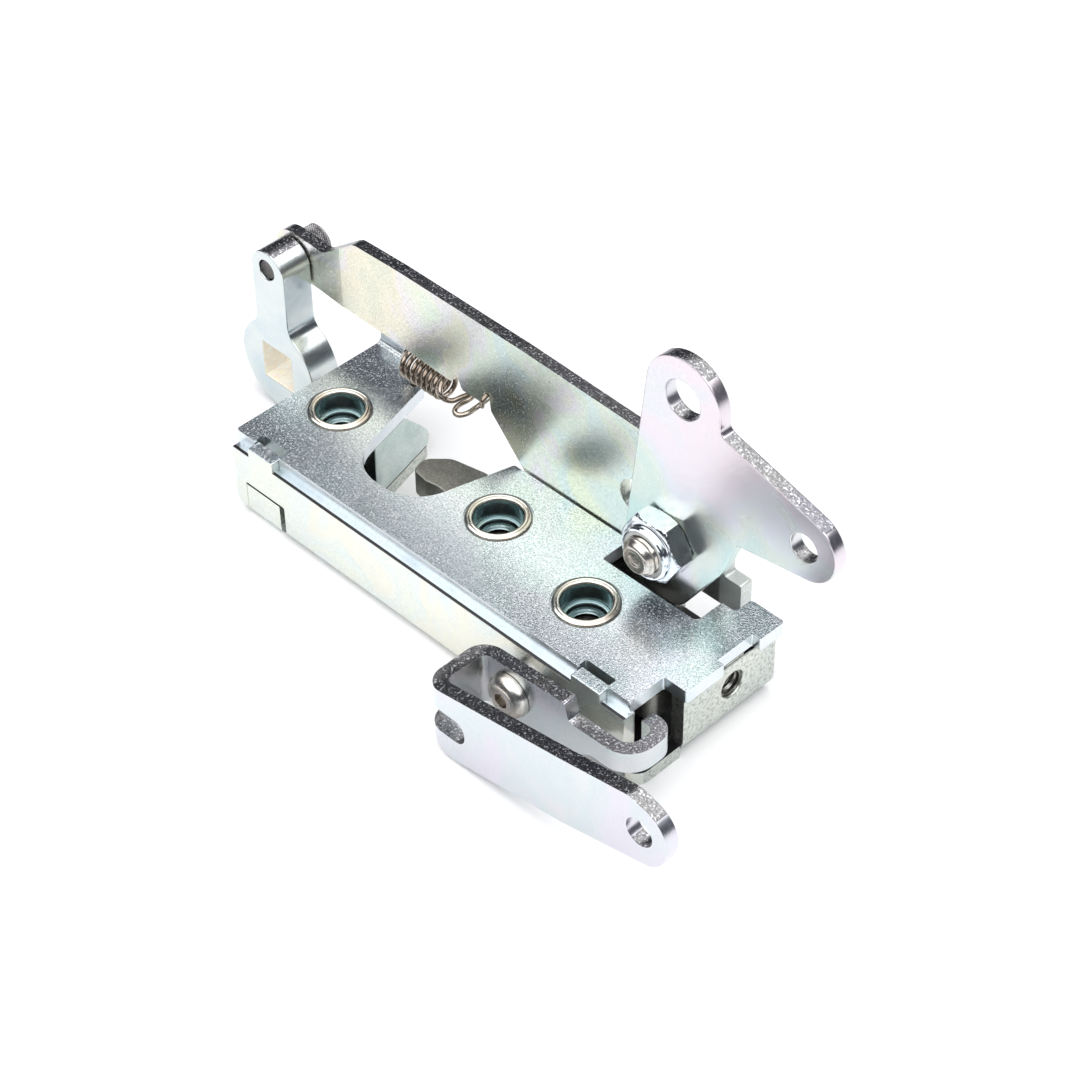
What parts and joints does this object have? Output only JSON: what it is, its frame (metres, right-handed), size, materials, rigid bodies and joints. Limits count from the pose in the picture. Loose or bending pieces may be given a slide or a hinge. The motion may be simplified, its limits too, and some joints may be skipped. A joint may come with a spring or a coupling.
{
  "type": "bear claw latch",
  "caption": "Rotary bear claw latch: open-mouthed plate housing with threaded bushes, a dark claw, an upright link with crank, a three-lobed bell crank and a bent release lever.",
  "frame": {"origin": "where the axis of the middle bush, on which the claw turns, meets the mounting face", "axes": "+X along the latch towards the end flange, +Y towards the open end of the mouth, +Z from the mounting face through the face plate"},
  "size_m": [0.164, 0.0625, 0.0743],
  "materials": {
    "plate_zinc": "blue passivated zinc, mottled satin",
    "wall_zinc": "zinc, pale yellow-green",
    "link_zinc": "zinc with a faint rainbow sheen",
    "lever_zinc": "zinc, pale lilac",
    "crank_zinc": "smooth bright zinc",
    "bush_steel": "turned bright steel",
    "rotor_steel": "matt dark steel",
    "inner_steel": "plain steel",
    "stainless": "satin stainless",
    "nut_bright": "bright zinc",
    "pin_dark": "dark grooved steel",
    "spring_wire": "drawn spring wire",
    "nylon": "natural nylon"
  },
  "bodies": {
    "housing": {"face_plate": "plate_zinc", "back_plate": "plate_zinc", "side_wall": "wall_zinc", "mouth_guide": "wall_zinc", "mount_bush": "bush_steel", "rotor_bush": "bush_steel", "pawl_bush": "bush_steel", "rotor_spacer": "inner_steel", "rotor_spring": "spring_wire", "rotor_stop": "inner_steel", "pawl_spacer": "inner_steel", "pawl_spring": "spring_wire", "link_spring": "spring_wire", "pivot_stud": "stainless", "stud_washer": "plate_zinc", "lock_nut": "nut_bright", "nut_insert": "nylon", "lever_screw": "stainless", "lever_bush": "inner_steel"},
    "rotor": {"rotor": "rotor_steel"},
    "pawl": {"pawl": "rotor_steel"},
    "link": {"connecting_link": "link_zinc", "link_pin": "pin_dark"},
    "crank": {"crank_arm": "crank_zinc"},
    "bell_crank": {"bell_crank": "lever_zinc"},
    "release_lever": {"release_lever": "lever_zinc"}
  },
  "joints": [
    {"name": "rotor_turn", "type": "hinge", "parent": "housing", "child": "rotor", "pos_m": [0, 0, 0.01], "axis": [0, 0, 1], "range_deg": [0, 36], "stiffness_Nm_per_rad": 0.05, "springref_deg": -28.65},
    {"name": "pawl_turn", "type": "hinge", "parent": "housing", "child": "pawl", "pos_m": [0.0286, -0.005, 0.01], "axis": [0, 0, -1], "range_deg": [0, 9], "stiffness_Nm_per_rad": 0.05, "springref_deg": -28.65},
    {"name": "link_slide", "type": "slide", "parent": "housing", "child": "link", "axis": [1, 0, 0], "range_m": [0, 0.008], "stiffness_N_per_m": 400, "springref_m": -0.012, "deforming": ["link_spring"]},
    {"name": "crank_turn", "type": "hinge", "parent": "link", "child": "crank", "pos_m": [-0.0732, 0.0099, 0.0364], "axis": [0, 1, 0], "range_deg": [0, 19]},
    {"name": "bell_crank_turn", "type": "hinge", "parent": "housing", "child": "bell_crank", "pos_m": [0.0354, 0.0104, 0.0303], "axis": [0, 1, 0], "range_deg": [-15, 15]},
    {"name": "release_lever_turn", "type": "hinge", "parent": "housing", "child": "release_lever", "pos_m": [0.0293, -0.0241, 0.0103], "axis": [0, 1, 0], "range_deg": [-6, 6]}
  ],
  "couplings": [
    {"joint": "crank_turn", "follows": "link_slide", "rad_per_m": 40.486}
  ]
}
